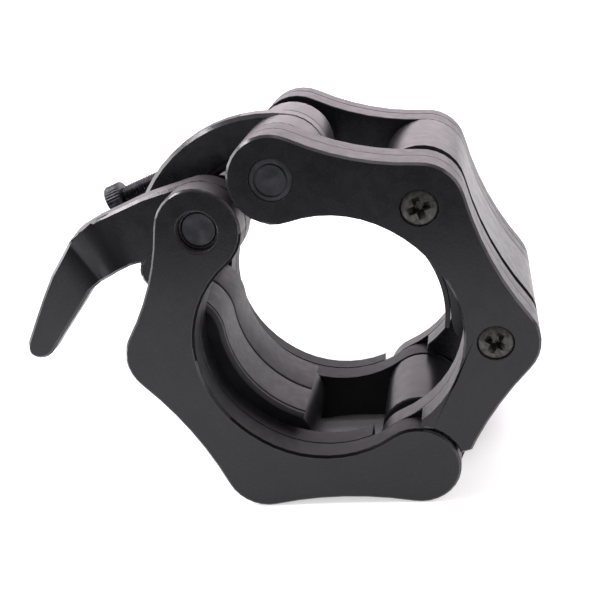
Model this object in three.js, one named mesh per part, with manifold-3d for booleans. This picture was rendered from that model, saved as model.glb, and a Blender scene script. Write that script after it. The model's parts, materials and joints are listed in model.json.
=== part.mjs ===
// Barbell collar: two hinged jaws that an over-centre lever and link close round a bar sleeve.
// Millimetres. The bar runs along Y, the front face looks to -Y, and Z is up.
// Outlines are drawn in the front view: x to the right, y of the drawing up.

import * as THREE from 'three';
import { mergeVertices } from 'three/addons/utils/BufferGeometryUtils.js';
import Module from 'manifold-3d';

const wasm = await Module();
wasm.setup();

// Bar, bore and jaw outline
const sleeveDiameter = 50;
const padProjection = 4.4;
const lobeRadius = 9.3;
const lobeSpacingGap = 0.93;
const linkPinOffset = 1.1;
const waistDepth = 1.7;
const jawBoreShift = 1;
const boreBlendInset = 4.4;
const lobeAngles = {
  leverPin: 132.4,
  leftUpper: 183.4,
  leftLower: 240.7,
  hinge: 299.3,
  rightLower: 356.4,
  rightUpper: 51.7,
};

// Plates, front to back
const collarWidth = 49.4;
const frontOuterThickness = 5.8;
const frontInnerThickness = 5.2;
const rearInnerThickness = 6;
const rearOuterThickness = 4.2;
const plateSeam = 0.2;

// Blocks and grip pads between the plates
const blockFrontGap = 3.1;
const blockRearGap = 0.2;
const padThickness = 1.1;
const padSeat = 0.2;
const padFrontOverhang = 2.5;
const padRearMargin = 1.2;
const padSplit = 0.3;
const leftPadWrapAngle = 56;
const leftPadLowerAngle = 249;
const rightPadLowerAngle = 350;
const rightPadUpperAngle = 58;

// Joints between the jaws
const runningGap = 0.2;
const pinClearance = 0.1;
const hingeEndGap = 0.5;
const hingeEndOuterAngle = 17.3;
const hingeEndInnerAngle = 82.7;
const innerPlateEndGap = 1;
const hingePinRadius = 4;
const hingePinInset = 2;
const hingeRollerRadius = 9.1;
const hingeWasherRadius = 6.4;
const hingeWasherLength = 3.8;

// Lever
const leverReach = 48;
const leverThickness = 5;
const leverJoggle = 3.5;
const leverPinRadius = 3.8;
const leverPinRecess = 1.8;
const leverPinCounterboreWall = 0.65;
const leverSpacerRadius = 5.9;
const leverLugRadius = 4.2;
const leverBossRadius = 3.6;
const innerPlateRelief = 0.5;
const leverCrankRadius = 15.7;
const leverCrankAngle = 221.5;

// Link and its pins
const linkThickness = 4;
const linkOuterRadius = 33.4;
const linkPinRunGap = 1;
const linkPlaceShare = 0.2734;
const linkPinRadius = 3.4;
const linkPinHeadRadius = 4.5;
const linkPinHeadLength = 2;
const linkPinRecess = 0.4;
const linkPinDimpleRadius = 3.4;
const linkPinDimpleDepth = 0.4;
const linkSpacerRadius = 5.2;
const linkSpacerLength = 6.2;
const crankPinRadius = 2.4;
const crankPinHeadRadius = 4.8;
const crankPinHeadLength = 1.6;
const crankSlotTravel = 2.3;
const crankSlotGap = 0.6;

// Adjusting screw and its lug
const adjusterRadius = 2;
const adjusterHeadRadius = 3.5;
const adjusterHeadLength = 4;
const adjusterAngle = 19;
const adjusterShankShown = 9.3;
const adjusterSocketRadius = 1.75;
const adjusterSocketDepth = 2.2;
const adjusterLength = 18;
const lugDepth = 9;
const lugLength = 9.5;
const lugWidth = 6.2;
const lugReach = 12.45;
const lugClearance = 0.34;

// Jaw screws and washers
const screwRadius = 2;
const screwHeadRadius = 3.85;
const screwHeadLip = 0.4;
const screwHeadSink = 0.2;
const screwTipInset = 2;
const screwCrossWidth = 1.1;
const screwCrossSpan = 4.4;
const screwCrossWall = 0.55;
const washerRadius = 5.4;

// Facets and cuts
const facetSag = 0.05;
const overrun = 1;

// Outline of the lever beyond its eye, as shares of its reach from the lever pin
const leverTopShares = [[-0.265, 0.135], [-0.502, 0.05]];
const leverBendShares = [[-0.6, 0], [-0.675, -0.07], [-0.725, -0.136]];
const leverHandleShares = [[-0.795, -0.225], [-0.877, -0.363], [-0.962, -0.515], [-0.997, -0.585]];
const leverTipShares = [[-0.985, -0.63], [-0.94, -0.648], [-0.885, -0.63]];
const leverUndersideShares = [[-0.836, -0.572], [-0.68, -0.39], [-0.616, -0.312], [-0.556, -0.272]];
const leverArmShares = [[-0.44, -0.206], [-0.375, -0.178], [-0.28, -0.158]];

// Finishes
const blackCoat = { color: 0x2d2e31, roughness: 0.38, metalness: 0.55 };
const innerCoat = { color: 0x35363a, roughness: 0.42, metalness: 0.55 };
const padPlastic = { color: 0x55535a, roughness: 0.5, metalness: 0 };
const pinSteel = { color: 0x3c3d40, roughness: 0.45, metalness: 0.8 };
const screwSteel = { color: 0x3a3b3d, roughness: 0.6, metalness: 0.7 };

const fullTurnAngle = 2 * Math.PI;
const bore = new THREE.Vector2(0, 0);

// Drawing helpers

function polar(centre, radius, angle) {
  return new THREE.Vector2(radius, 0).rotateAround(new THREE.Vector2(0, 0), angle).add(centre);
}

function angleTo(from, to) {
  return to.clone().sub(from).angle();
}

function stepAngle(radius) {
  return 2 * Math.acos(1 - facetSag / Math.max(radius, 2 * facetSag));
}

function sides(radius) {
  return 2 * Math.ceil(fullTurnAngle / stepAngle(radius) / 2);
}

// Points on a round stretch, both ends included; turn is 1 anticlockwise and -1 clockwise.
function arc(centre, radius, from, to, turn) {
  const sweep = THREE.MathUtils.euclideanModulo(turn * (to - from), fullTurnAngle);
  const steps = Math.max(1, Math.ceil(sweep / stepAngle(radius)));
  const points = [];
  for (let i = 0; i <= steps; i += 1) {
    points.push(polar(centre, radius, from + turn * sweep * i / steps));
  }
  return points;
}

// Solids

function solid(geometry) {
  geometry.deleteAttribute('normal');
  geometry.deleteAttribute('uv');
  const merged = mergeVertices(geometry);
  const vertProperties = new Float32Array(merged.attributes.position.array);
  const triVerts = new Uint32Array(merged.index.array);
  return new wasm.Manifold(new wasm.Mesh({ numProp: 3, vertProperties, triVerts }));
}

function prism(points, front, rear) {
  const geometry = new THREE.ExtrudeGeometry(new THREE.Shape(points), {
    depth: rear - front,
    bevelEnabled: false,
  });
  geometry.rotateX(Math.PI / 2);
  geometry.translate(0, rear, 0);
  return solid(geometry);
}

function disc(centre, radius, front, rear) {
  const geometry = new THREE.CylinderGeometry(radius, radius, rear - front, sides(radius));
  geometry.translate(centre.x, (front + rear) / 2, centre.y);
  return solid(geometry);
}

function ring(centre, radius, holeRadius, front, rear) {
  const hole = disc(centre, holeRadius, front - overrun, rear + overrun);
  return disc(centre, radius, front, rear).subtract(hole);
}

function box(size, centre) {
  const geometry = new THREE.BoxGeometry(size.x, size.y, size.z);
  geometry.translate(centre.x, centre.y, centre.z);
  return solid(geometry);
}

// A curved bar: the band between two radii round a centre, from one angle up to the next.
function band(centre, inner, outer, from, to, front, rear) {
  const points = [...arc(centre, outer, from, to, 1), ...arc(centre, inner, to, from, -1)];
  return prism(points, front, rear);
}

const collar = new THREE.Group();

function piece(name, shape, finish) {
  const { vertProperties, triVerts } = shape.getMesh();
  const geometry = new THREE.BufferGeometry();
  geometry.setAttribute('position', new THREE.BufferAttribute(vertProperties, 3));
  geometry.setIndex(new THREE.BufferAttribute(triVerts, 1));
  geometry.computeVertexNormals();
  const mesh = new THREE.Mesh(geometry, new THREE.MeshStandardMaterial(finish));
  mesh.name = name;
  collar.add(mesh);
}

// Places that the pieces share

const plateBoreRadius = sleeveDiameter / 2 + padProjection;
const boreBlendRadius = plateBoreRadius - boreBlendInset;
const padInnerRadius = sleeveDiameter / 2;
const padOuterRadius = padInnerRadius + padThickness;
const blockInnerRadius = padOuterRadius + padSeat;
const lobePitchRadius = blockInnerRadius + lobeRadius;

const lobes = {};
for (const [name, angle] of Object.entries(lobeAngles)) {
  lobes[name] = polar(bore, lobePitchRadius, THREE.MathUtils.degToRad(angle));
}

// Angle between the first two sides of a triangle
function cornerAngle(first, second, opposite) {
  return Math.acos((first * first + second * second - opposite * opposite) / (2 * first * second));
}

// The link pin lies a little further out, one lobe away from the lever pin.
const linkPinPitchRadius = lobePitchRadius + linkPinOffset;
const pinSwing = cornerAngle(lobePitchRadius, linkPinPitchRadius, 2 * lobeRadius + lobeSpacingGap);
lobes.linkPin = polar(bore, linkPinPitchRadius, angleTo(bore, lobes.leverPin) - pinSwing);
const crank = polar(lobes.leverPin, leverCrankRadius, THREE.MathUtils.degToRad(leverCrankAngle));

const frontOuter = { front: 0, rear: frontOuterThickness };
const frontInner = { front: frontOuter.rear + plateSeam };
frontInner.rear = frontInner.front + frontInnerThickness;
const rearOuter = { front: collarWidth - rearOuterThickness, rear: collarWidth };
const rearInner = { rear: rearOuter.front - plateSeam };
rearInner.front = rearInner.rear - rearInnerThickness;
const block = { front: frontInner.rear + blockFrontGap, rear: rearInner.front - blockRearGap };
const pads = { front: block.front - padFrontOverhang, rear: rearInner.front - padRearMargin };
const lever = { front: frontInner.front, rear: frontInner.front + leverThickness };
const inside = rearInner.front - frontInner.rear;
const link = { front: frontInner.rear + linkPlaceShare * inside + runningGap };
link.rear = link.front + linkThickness;

// Jaw outline: lobes joined by shallow waists outside, and a bore with eased ends inside

function waist(from, to) {
  const half = from.distanceTo(to) / 2;
  const rise = lobeRadius - waistDepth;
  const radius = (half * half + rise * rise - lobeRadius * lobeRadius) / (2 * waistDepth);
  const outward = to.clone().sub(from).rotateAround(bore, -Math.PI / 2).normalize();
  const centre = from.clone().add(to).divideScalar(2).addScaledVector(outward, rise + radius);
  return { centre, radius };
}

function boreBlend(lobe, boreCentre, turn) {
  const span = boreCentre.distanceTo(lobe);
  const swing = cornerAngle(boreBlendInset, span, lobeRadius + boreBlendRadius);
  const centre = polar(boreCentre, boreBlendInset, angleTo(boreCentre, lobe) + turn * swing);
  const onBore = angleTo(boreCentre, centre);
  return { centre, onBore, onLobe: angleTo(lobe, centre), fromLobe: angleTo(centre, lobe) };
}

// The outer edge along a run of lobes, from an angle on the first to an angle on the last.
function outerEdge(run, startAngle, endAngle) {
  const points = [];
  let from = startAngle;
  for (let i = 0; i < run.length - 1; i += 1) {
    const dip = waist(run[i], run[i + 1]);
    points.push(...arc(run[i], lobeRadius, from, angleTo(run[i], dip.centre), 1));
    const dipEnd = angleTo(dip.centre, run[i + 1]);
    points.push(...arc(dip.centre, dip.radius, angleTo(dip.centre, run[i]), dipEnd, -1).slice(1, -1));
    from = angleTo(run[i + 1], dip.centre);
  }
  points.push(...arc(run[run.length - 1], lobeRadius, from, endAngle, 1));
  return points;
}

function jawOutline(run, boreCentre) {
  const start = boreBlend(run[0], boreCentre, 1);
  const end = boreBlend(run[run.length - 1], boreCentre, -1);
  return [
    ...outerEdge(run, start.onLobe, end.onLobe),
    ...arc(end.centre, boreBlendRadius, end.fromLobe, end.onBore, -1).slice(1),
    ...arc(boreCentre, plateBoreRadius, end.onBore, start.onBore, -1).slice(1, -1),
    ...arc(start.centre, boreBlendRadius, start.onBore, start.fromLobe, -1).slice(0, -1),
  ];
}

const leftRun = [lobes.leverPin, lobes.leftUpper, lobes.leftLower, lobes.hinge];
const rightRun = [lobes.hinge, lobes.rightLower, lobes.rightUpper, lobes.linkPin];
const leftOutline = jawOutline(leftRun, new THREE.Vector2(0, jawBoreShift));
const rightOutline = jawOutline(rightRun, new THREE.Vector2(0, -jawBoreShift));

function drill(shape, centre, radius, front, rear) {
  return shape.subtract(disc(centre, radius + pinClearance, front, rear));
}

function through(shape, centre, radius) {
  return drill(shape, centre, radius, -overrun, collarWidth + overrun);
}

// Everything near the hinge that a right plate in the left jaw's layer has to leave free.
function hingeEndCut(layer) {
  const reach = 2 * lobeRadius;
  const from = THREE.MathUtils.degToRad(hingeEndInnerAngle);
  const to = THREE.MathUtils.degToRad(hingeEndOuterAngle) + fullTurnAngle;
  const front = layer.front - overrun;
  const rear = layer.rear + overrun;
  const wedge = prism([lobes.hinge, ...arc(lobes.hinge, reach, from, to, 1)], front, rear);
  return wedge.add(disc(lobes.hinge, lobeRadius + hingeEndGap, front, rear));
}

// Everything right of the square end that a left plate in the right jaw's layer has.
function squareEndCut(layer) {
  const depth = layer.rear - layer.front + 2 * overrun;
  const size = new THREE.Vector3(collarWidth, depth, collarWidth);
  const left = lobes.hinge.x - lobeRadius - innerPlateEndGap;
  return box(size, new THREE.Vector3(left + size.x / 2, (layer.front + layer.rear) / 2, lobes.hinge.y));
}

// The part of the lever's layer that its arm and crank lug swing through.
function leverSwingCut() {
  const floor = crank.y - leverLugRadius - innerPlateRelief;
  const depth = frontInner.rear - frontInner.front + 2 * overrun;
  const size = new THREE.Vector3(2 * lobePitchRadius, depth, 2 * lobePitchRadius);
  const level = (frontInner.front + frontInner.rear) / 2;
  return box(size, new THREE.Vector3(crank.x, level, floor + size.z / 2));
}

// Left jaw plates

let plate = prism(leftOutline, frontOuter.front, frontOuter.rear);
plate = through(plate, lobes.leverPin, leverPinRadius);
plate = drill(plate, lobes.leverPin, leverPinRadius + leverPinCounterboreWall, -overrun, leverPinRecess);
plate = drill(plate, lobes.hinge, hingePinRadius, hingePinInset - pinClearance, collarWidth);
plate = drill(plate, lobes.leftUpper, screwRadius, screwTipInset - pinClearance, collarWidth);
plate = drill(plate, lobes.leftLower, screwRadius, screwTipInset - pinClearance, collarWidth);
piece('left_front_outer_plate', plate, blackCoat);

plate = prism(leftOutline, frontInner.front, frontInner.rear);
plate = plate.subtract(leverSwingCut()).subtract(squareEndCut(frontInner));
plate = through(plate, lobes.leftUpper, screwRadius);
plate = through(plate, lobes.leftLower, screwRadius);
piece('left_front_inner_plate', plate, blackCoat);

plate = prism(leftOutline, rearInner.front, rearInner.rear);
plate = through(plate, lobes.leverPin, leverPinRadius);
plate = through(plate, lobes.hinge, hingePinRadius);
plate = through(plate, lobes.leftUpper, screwRadius);
plate = through(plate, lobes.leftLower, screwRadius);
piece('left_rear_inner_plate', plate, blackCoat);

// A countersunk screw along Y; facing is 1 with its head at the front and -1 with its head at the back.
function jawScrew(centre, facing, grow) {
  const wide = screwHeadRadius + grow;
  const narrow = screwRadius + grow;
  const neck = screwHeadSink + screwHeadLip;
  const shoulder = neck + screwHeadRadius - screwRadius;
  const outline = [
    [0, screwHeadSink - grow],
    [wide, screwHeadSink - grow],
    [wide, neck],
    [narrow, shoulder],
    [narrow, collarWidth - screwTipInset],
    [0, collarWidth - screwTipInset],
  ];
  const points = outline.map(([radius, depth]) => new THREE.Vector2(radius, depth));
  const geometry = new THREE.LatheGeometry(points, sides(wide));
  if (facing < 0) {
    geometry.rotateX(Math.PI);
    geometry.translate(0, collarWidth, 0);
  }
  geometry.translate(centre.x, 0, centre.y);
  return solid(geometry);
}

function crossRecess(centre, facing) {
  const neck = screwHeadSink + screwHeadLip;
  const depth = neck + screwHeadRadius - screwCrossSpan / 2 - screwCrossWall;
  const middle = facing > 0 ? depth / 2 - overrun / 2 : collarWidth - depth / 2 + overrun / 2;
  const place = new THREE.Vector3(centre.x, middle, centre.y);
  const level = new THREE.Vector3(screwCrossSpan, depth + overrun, screwCrossWidth);
  const upright = new THREE.Vector3(screwCrossWidth, depth + overrun, screwCrossSpan);
  return box(level, place).add(box(upright, place));
}

function countersink(shape, centre, facing) {
  const open = facing > 0 ? -overrun : collarWidth - screwHeadSink;
  const shut = facing > 0 ? screwHeadSink : collarWidth + overrun;
  const mouth = disc(centre, screwHeadRadius + pinClearance, open, shut);
  return shape.subtract(jawScrew(centre, facing, pinClearance)).subtract(mouth);
}

plate = prism(leftOutline, rearOuter.front, rearOuter.rear);
plate = plate.subtract(squareEndCut(rearOuter));
plate = through(plate, lobes.leverPin, leverPinRadius);
plate = countersink(plate, lobes.leftUpper, -1);
plate = countersink(plate, lobes.leftLower, -1);
piece('left_rear_outer_plate', plate, blackCoat);

// Right jaw plates

plate = prism(rightOutline, frontOuter.front, frontOuter.rear);
plate = plate.subtract(hingeEndCut(frontOuter));
plate = through(plate, lobes.linkPin, linkPinRadius);
plate = drill(plate, lobes.linkPin, linkPinHeadRadius, -overrun, linkPinRecess + linkPinHeadLength);
plate = countersink(plate, lobes.rightLower, 1);
plate = countersink(plate, lobes.rightUpper, 1);
piece('right_front_outer_plate', plate, blackCoat);

plate = prism(rightOutline, frontInner.front, frontInner.rear);
plate = through(plate, lobes.linkPin, linkPinRadius);
plate = through(plate, lobes.hinge, hingePinRadius);
plate = through(plate, lobes.rightLower, screwRadius);
plate = through(plate, lobes.rightUpper, screwRadius);
piece('right_front_inner_plate', plate, blackCoat);

plate = prism(rightOutline, rearInner.front, rearInner.rear);
plate = plate.subtract(hingeEndCut(rearInner));
plate = through(plate, lobes.linkPin, linkPinRadius);
plate = through(plate, lobes.rightLower, screwRadius);
plate = through(plate, lobes.rightUpper, screwRadius);
piece('right_rear_inner_plate', plate, blackCoat);

plate = prism(rightOutline, rearOuter.front, rearOuter.rear);
plate = through(plate, lobes.linkPin, linkPinRadius);
plate = drill(plate, lobes.hinge, hingePinRadius, -overrun, collarWidth - hingePinInset + pinClearance);
plate = drill(plate, lobes.rightLower, screwRadius, -overrun, collarWidth - screwTipInset + pinClearance);
plate = drill(plate, lobes.rightUpper, screwRadius, -overrun, collarWidth - screwTipInset + pinClearance);
piece('right_rear_outer_plate', plate, blackCoat);

// Spacer blocks: the outer edge of the plates, with an inner face that backs the grip pad

function spacerBlock(lower, upper) {
  const points = [
    ...outerEdge([lower, upper], angleTo(lower, bore), angleTo(upper, bore)),
    ...arc(bore, blockInnerRadius, angleTo(bore, upper), angleTo(bore, lower), -1).slice(1, -1),
  ];
  const shape = prism(points, block.front, block.rear);
  return through(through(shape, lower, screwRadius), upper, screwRadius);
}

const linkSweep = disc(crank, lobeRadius + innerPlateRelief, -overrun, collarWidth + overrun);
piece('left_spacer_block', spacerBlock(lobes.leftUpper, lobes.leftLower).subtract(linkSweep), innerCoat);
piece('right_spacer_block', spacerBlock(lobes.rightLower, lobes.rightUpper), innerCoat);

// Grip pads: thin liners on the blocks, the left one in two halves that wrap the lobe at their upper end

const padSeamLevel = (pads.front + pads.rear) / 2;

function leftPad(front, rear) {
  const lower = THREE.MathUtils.degToRad(leftPadLowerAngle);
  const upper = angleTo(bore, lobes.leftUpper);
  const wrapStart = angleTo(lobes.leftUpper, bore);
  const wrapEnd = THREE.MathUtils.degToRad(leftPadWrapAngle);
  const points = [
    ...arc(bore, padInnerRadius, lower, upper, -1),
    ...arc(lobes.leftUpper, lobePitchRadius - padInnerRadius, wrapStart, wrapEnd, 1).slice(1),
    ...arc(lobes.leftUpper, lobePitchRadius - padOuterRadius, wrapEnd, wrapStart, -1),
    ...arc(bore, padOuterRadius, upper, lower, 1).slice(1),
  ];
  return prism(points, front, rear);
}

piece('left_front_pad', leftPad(pads.front, padSeamLevel - padSplit / 2), padPlastic);
piece('left_rear_pad', leftPad(padSeamLevel + padSplit / 2, pads.rear), padPlastic);

const rightPadLower = THREE.MathUtils.degToRad(rightPadLowerAngle);
const rightPadUpper = THREE.MathUtils.degToRad(rightPadUpperAngle);
const rightPadWall = [padInnerRadius, padOuterRadius, rightPadLower, rightPadUpper];
piece('right_grip_pad', band(bore, ...rightPadWall, block.front, pads.rear), padPlastic);

// Screws and the washers that hold the blocks off the front plates

const jawScrews = [
  ['left_upper', lobes.leftUpper, -1],
  ['left_lower', lobes.leftLower, -1],
  ['right_lower', lobes.rightLower, 1],
  ['right_upper', lobes.rightUpper, 1],
];
for (const [name, centre, facing] of jawScrews) {
  piece(`${name}_screw`, jawScrew(centre, facing, 0).subtract(crossRecess(centre, facing)), screwSteel);
  const washer = ring(centre, washerRadius, screwRadius + pinClearance, frontInner.rear, block.front);
  piece(`${name}_washer`, washer, pinSteel);
}

// Hinge: a blind pin, a washer at the front, and a roller as big as the lobes

const washerFront = frontInner.rear + runningGap;
const rollerFront = washerFront + hingeWasherLength;
const hingeHole = hingePinRadius + pinClearance;
const hingePin = disc(lobes.hinge, hingePinRadius, hingePinInset, collarWidth - hingePinInset);
const hingeWasher = ring(lobes.hinge, hingeWasherRadius, hingeHole, washerFront, rollerFront);
const hingeRoller = ring(lobes.hinge, hingeRollerRadius, hingeHole, rollerFront, rearInner.front);
piece('hinge_pin', hingePin, pinSteel);
piece('hinge_washer', hingeWasher, pinSteel);
piece('hinge_roller', hingeRoller, innerCoat);

// Lever pin and the spacers that hold the lever forward, with the link passing between them

const leverHole = leverPinRadius + pinClearance;
const leverPinRear = collarWidth - leverPinRecess;
const frontSpacerStart = lever.rear + runningGap;
const rearSpacerStart = link.rear + runningGap;
piece('lever_pin', disc(lobes.leverPin, leverPinRadius, leverPinRecess, leverPinRear), pinSteel);
const frontSpacerEnd = link.front - runningGap;
const frontSpacer = ring(lobes.leverPin, leverSpacerRadius, leverHole, frontSpacerStart, frontSpacerEnd);
const rearSpacer = ring(lobes.leverPin, leverSpacerRadius, leverHole, rearSpacerStart, rearInner.front);
piece('lever_pin_front_spacer', frontSpacer, pinSteel);
piece('lever_pin_rear_spacer', rearSpacer, pinSteel);

// Lever: a flat arm with an eye and a crank lug, cranked back into a tapering handle

function leverPoints(shares) {
  return shares.map(([x, y]) => new THREE.Vector2(x, y).multiplyScalar(leverReach).add(lobes.leverPin));
}

function smooth(points) {
  const curve = new THREE.SplineCurve(points);
  return curve.getPoints(2 * points.length);
}

const [topPoint, creaseUpper] = leverPoints(leverTopShares);
const [creaseLower, armMiddle, armPoint] = leverPoints(leverArmShares);
const [bendStart, handleUpper, bendEnd] = leverPoints(leverBendShares);
const [tipPoint, undersideTip, undersideMiddle, handleLower] = leverPoints(leverUndersideShares);

// Slab over a flat outline whose depth is shifted back by a share of the joggle at each point.
function slab(points, shift) {
  const geometry = new THREE.ExtrudeGeometry(new THREE.Shape(points), {
    depth: leverThickness,
    bevelEnabled: false,
  });
  geometry.rotateX(Math.PI / 2);
  geometry.translate(0, lever.rear, 0);
  const position = geometry.attributes.position;
  for (let i = 0; i < position.count; i += 1) {
    const place = new THREE.Vector2(position.getX(i), position.getZ(i));
    position.setY(i, position.getY(i) + leverJoggle * shift(place));
  }
  return solid(geometry);
}

// Share of the joggle across the cranked strip between the two crease lines.
function strip(place) {
  const near = [creaseUpper, creaseLower].some((point) => point.distanceTo(place) < facetSag);
  return near ? 0 : 1;
}

const eyeTop = angleTo(lobes.leverPin, topPoint) - Math.PI / 4;
const eyeBottom = angleTo(lobes.leverPin, armPoint) + Math.PI / 4;
const eye = arc(lobes.leverPin, lobeRadius, eyeBottom, eyeTop, 1);
const armOutline = [...eye, topPoint, creaseUpper, creaseLower, armMiddle, armPoint];
const roundedEnd = [...leverPoints([...leverHandleShares, ...leverTipShares]), tipPoint];
const handleOutline = [
  handleUpper,
  bendEnd,
  ...smooth(roundedEnd),
  undersideTip,
  undersideMiddle,
  handleLower,
];
const webDirection = angleTo(lobes.leverPin, crank);
const webOutline = [
  polar(lobes.leverPin, leverLugRadius, webDirection - Math.PI / 2),
  polar(crank, leverLugRadius, webDirection - Math.PI / 2),
  polar(crank, leverLugRadius, webDirection + Math.PI / 2),
  polar(lobes.leverPin, leverLugRadius, webDirection + Math.PI / 2),
];
const stripOutline = [creaseUpper, bendStart, handleUpper, handleLower, creaseLower];

let leverBody = slab(armOutline, () => 0);
leverBody = leverBody.add(slab(stripOutline, strip));
leverBody = leverBody.add(slab(handleOutline, () => 1));
leverBody = leverBody.add(prism(webOutline, lever.front, lever.rear));
leverBody = leverBody.add(disc(crank, leverLugRadius, lever.front, lever.rear));
leverBody = leverBody.add(disc(crank, leverBossRadius, lever.front, link.front - runningGap));
leverBody = through(leverBody, lobes.leverPin, leverPinRadius);
leverBody = drill(leverBody, crank, crankPinRadius, lever.front + runningGap + overrun, collarWidth);
piece('lever', leverBody, blackCoat);

// Crank pin: held in the lever's boss, headed behind the link

const crankPinRear = link.rear + runningGap;
const crankPinFront = lever.front + runningGap + overrun + pinClearance;
const crankPin = disc(crank, crankPinRadius, crankPinFront, crankPinRear)
  .add(disc(crank, crankPinHeadRadius, crankPinRear, crankPinRear + crankPinHeadLength));
piece('crank_pin', crankPin, pinSteel);

// Link pin, its barrel and the spacer behind it

let linkPin = disc(lobes.linkPin, linkPinHeadRadius, linkPinRecess, linkPinRecess + linkPinHeadLength);
linkPin = linkPin.add(disc(lobes.linkPin, linkPinRadius, linkPinRecess, collarWidth - linkPinRecess));
linkPin = linkPin.subtract(ring(
  lobes.linkPin,
  linkPinDimpleRadius + linkPinDimpleDepth / 2,
  linkPinDimpleRadius - linkPinDimpleDepth / 2,
  -overrun,
  linkPinRecess + linkPinDimpleDepth,
));
piece('link_pin', linkPin, pinSteel);

const linkHole = linkPinRadius + pinClearance;
const barrelFrontEnd = link.front - runningGap;
const barrelRearStart = link.rear + runningGap;
const barrelRearEnd = rearInner.front - linkSpacerLength;
const barrelFront = ring(lobes.linkPin, lobeRadius, linkHole, frontInner.rear, barrelFrontEnd);
const barrelRear = ring(lobes.linkPin, lobeRadius, linkHole, barrelRearStart, barrelRearEnd);
const pinSpacer = ring(lobes.linkPin, linkSpacerRadius, linkHole, barrelRearEnd, rearInner.front);
piece('link_barrel_front', barrelFront, innerCoat);
piece('link_barrel_rear', barrelRear, innerCoat);
piece('link_pin_spacer', pinSpacer, pinSteel);

// Link: a curved bar with an eye at each end, bowed outward to clear the lever pin

function linkCentre() {
  const half = lobes.linkPin.distanceTo(crank) / 2;
  const reach = linkOuterRadius - lobeRadius;
  const inward = crank.clone().sub(lobes.linkPin).rotateAround(bore, Math.PI / 2).normalize();
  const middle = lobes.linkPin.clone().add(crank).divideScalar(2);
  return middle.addScaledVector(inward, Math.sqrt(reach * reach - half * half));
}

const bow = linkCentre();
const linkInnerRadius = bow.distanceTo(lobes.leverPin) + leverPinRadius + linkPinRunGap;

// The screw's line passes over the spacer on the lever pin, with half the lug's width between them.
const adjusterTurn = THREE.MathUtils.degToRad(adjusterAngle);
const adjusterHeadPlace = new THREE.Vector2(
  -lugReach - adjusterShankShown - adjusterHeadLength / 2,
  leverSpacerRadius + lugClearance + lugWidth / 2,
).rotateAround(bore, adjusterTurn).add(lobes.leverPin);
const adjusterLevel = link.rear + lugDepth / 2;

// A shape drawn along X from the middle of the screw's head, laid along the screw's line.
function alongAdjuster(geometry, start, length) {
  geometry.translate(start + length / 2, 0, 0);
  geometry.rotateY(-adjusterTurn);
  geometry.translate(adjusterHeadPlace.x, adjusterLevel, adjusterHeadPlace.y);
  return solid(geometry);
}

function adjusterRod(radius, start, length, count = sides(radius)) {
  const geometry = new THREE.CylinderGeometry(radius, radius, length, count);
  geometry.rotateZ(-Math.PI / 2);
  return alongAdjuster(geometry, start, length);
}

const shankStart = adjusterHeadLength / 2;
const lugStart = shankStart + adjusterShankShown;
const lugRear = link.rear + lugDepth;
const lugBox = alongAdjuster(new THREE.BoxGeometry(lugLength, lugDepth, lugWidth), lugStart, lugLength);
const lugBlock = lugBox.intersect(disc(bow, linkOuterRadius, link.front, lugRear + overrun));
let linkBody = band(
  bow,
  linkInnerRadius,
  linkOuterRadius,
  angleTo(bow, lobes.linkPin),
  angleTo(bow, crank),
  link.front,
  link.rear,
);
linkBody = linkBody.add(disc(lobes.linkPin, lobeRadius, link.front, link.rear));
linkBody = linkBody.add(disc(crank, lobeRadius, link.front, link.rear));
linkBody = linkBody.add(lugBlock);
linkBody = through(linkBody, lobes.linkPin, linkPinRadius);

// The slot for the crank pin lets the link take up the jaw's travel.
const slotRadius = crankPinRadius + crankSlotGap;
const slotLeft = crank.clone().setX(crank.x - crankSlotTravel);
const slotRight = crank.clone().setX(crank.x + crankSlotTravel);
const slot = [
  ...arc(slotLeft, slotRadius, Math.PI / 2, -Math.PI / 2, 1),
  ...arc(slotRight, slotRadius, -Math.PI / 2, Math.PI / 2, 1),
];
linkBody = linkBody.subtract(prism(slot, link.front - overrun, link.rear + overrun));
const drillLength = lugLength + 2 * overrun;
linkBody = linkBody.subtract(adjusterRod(adjusterRadius + pinClearance, lugStart - overrun, drillLength));
piece('link', linkBody, blackCoat);

// Adjusting screw: a round head with a hexagon socket

const screwOutline = [
  [0, -shankStart],
  [adjusterHeadRadius, -shankStart],
  [adjusterHeadRadius, shankStart],
  [adjusterRadius, shankStart],
  [adjusterRadius, shankStart + adjusterLength],
  [0, shankStart + adjusterLength],
];
const screwPoints = screwOutline.map(([radius, along]) => new THREE.Vector2(radius, along));
const screwTurned = new THREE.LatheGeometry(screwPoints, sides(adjusterHeadRadius));
screwTurned.rotateZ(-Math.PI / 2);
const socket = adjusterRod(adjusterSocketRadius, -shankStart - overrun, adjusterSocketDepth + overrun, 6);
piece('adjusting_screw', alongAdjuster(screwTurned, 0, 0).subtract(socket), screwSteel);

// Stand the collar on its two lowest lobes, with the origin under the middle of its box.
const bounds = new THREE.Box3().setFromObject(collar);
const middle = bounds.getCenter(new THREE.Vector3());
collar.position.set(-middle.x, -middle.y, -bounds.min.z);

export default collar;
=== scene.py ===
# Barbell collar: the fine shapes and the finishes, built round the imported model.
# Blender works in metres; sizes written in millimetres are multiplied by mm.
import json
import math

import bmesh
import bpy
from mathutils import Matrix, Vector

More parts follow.
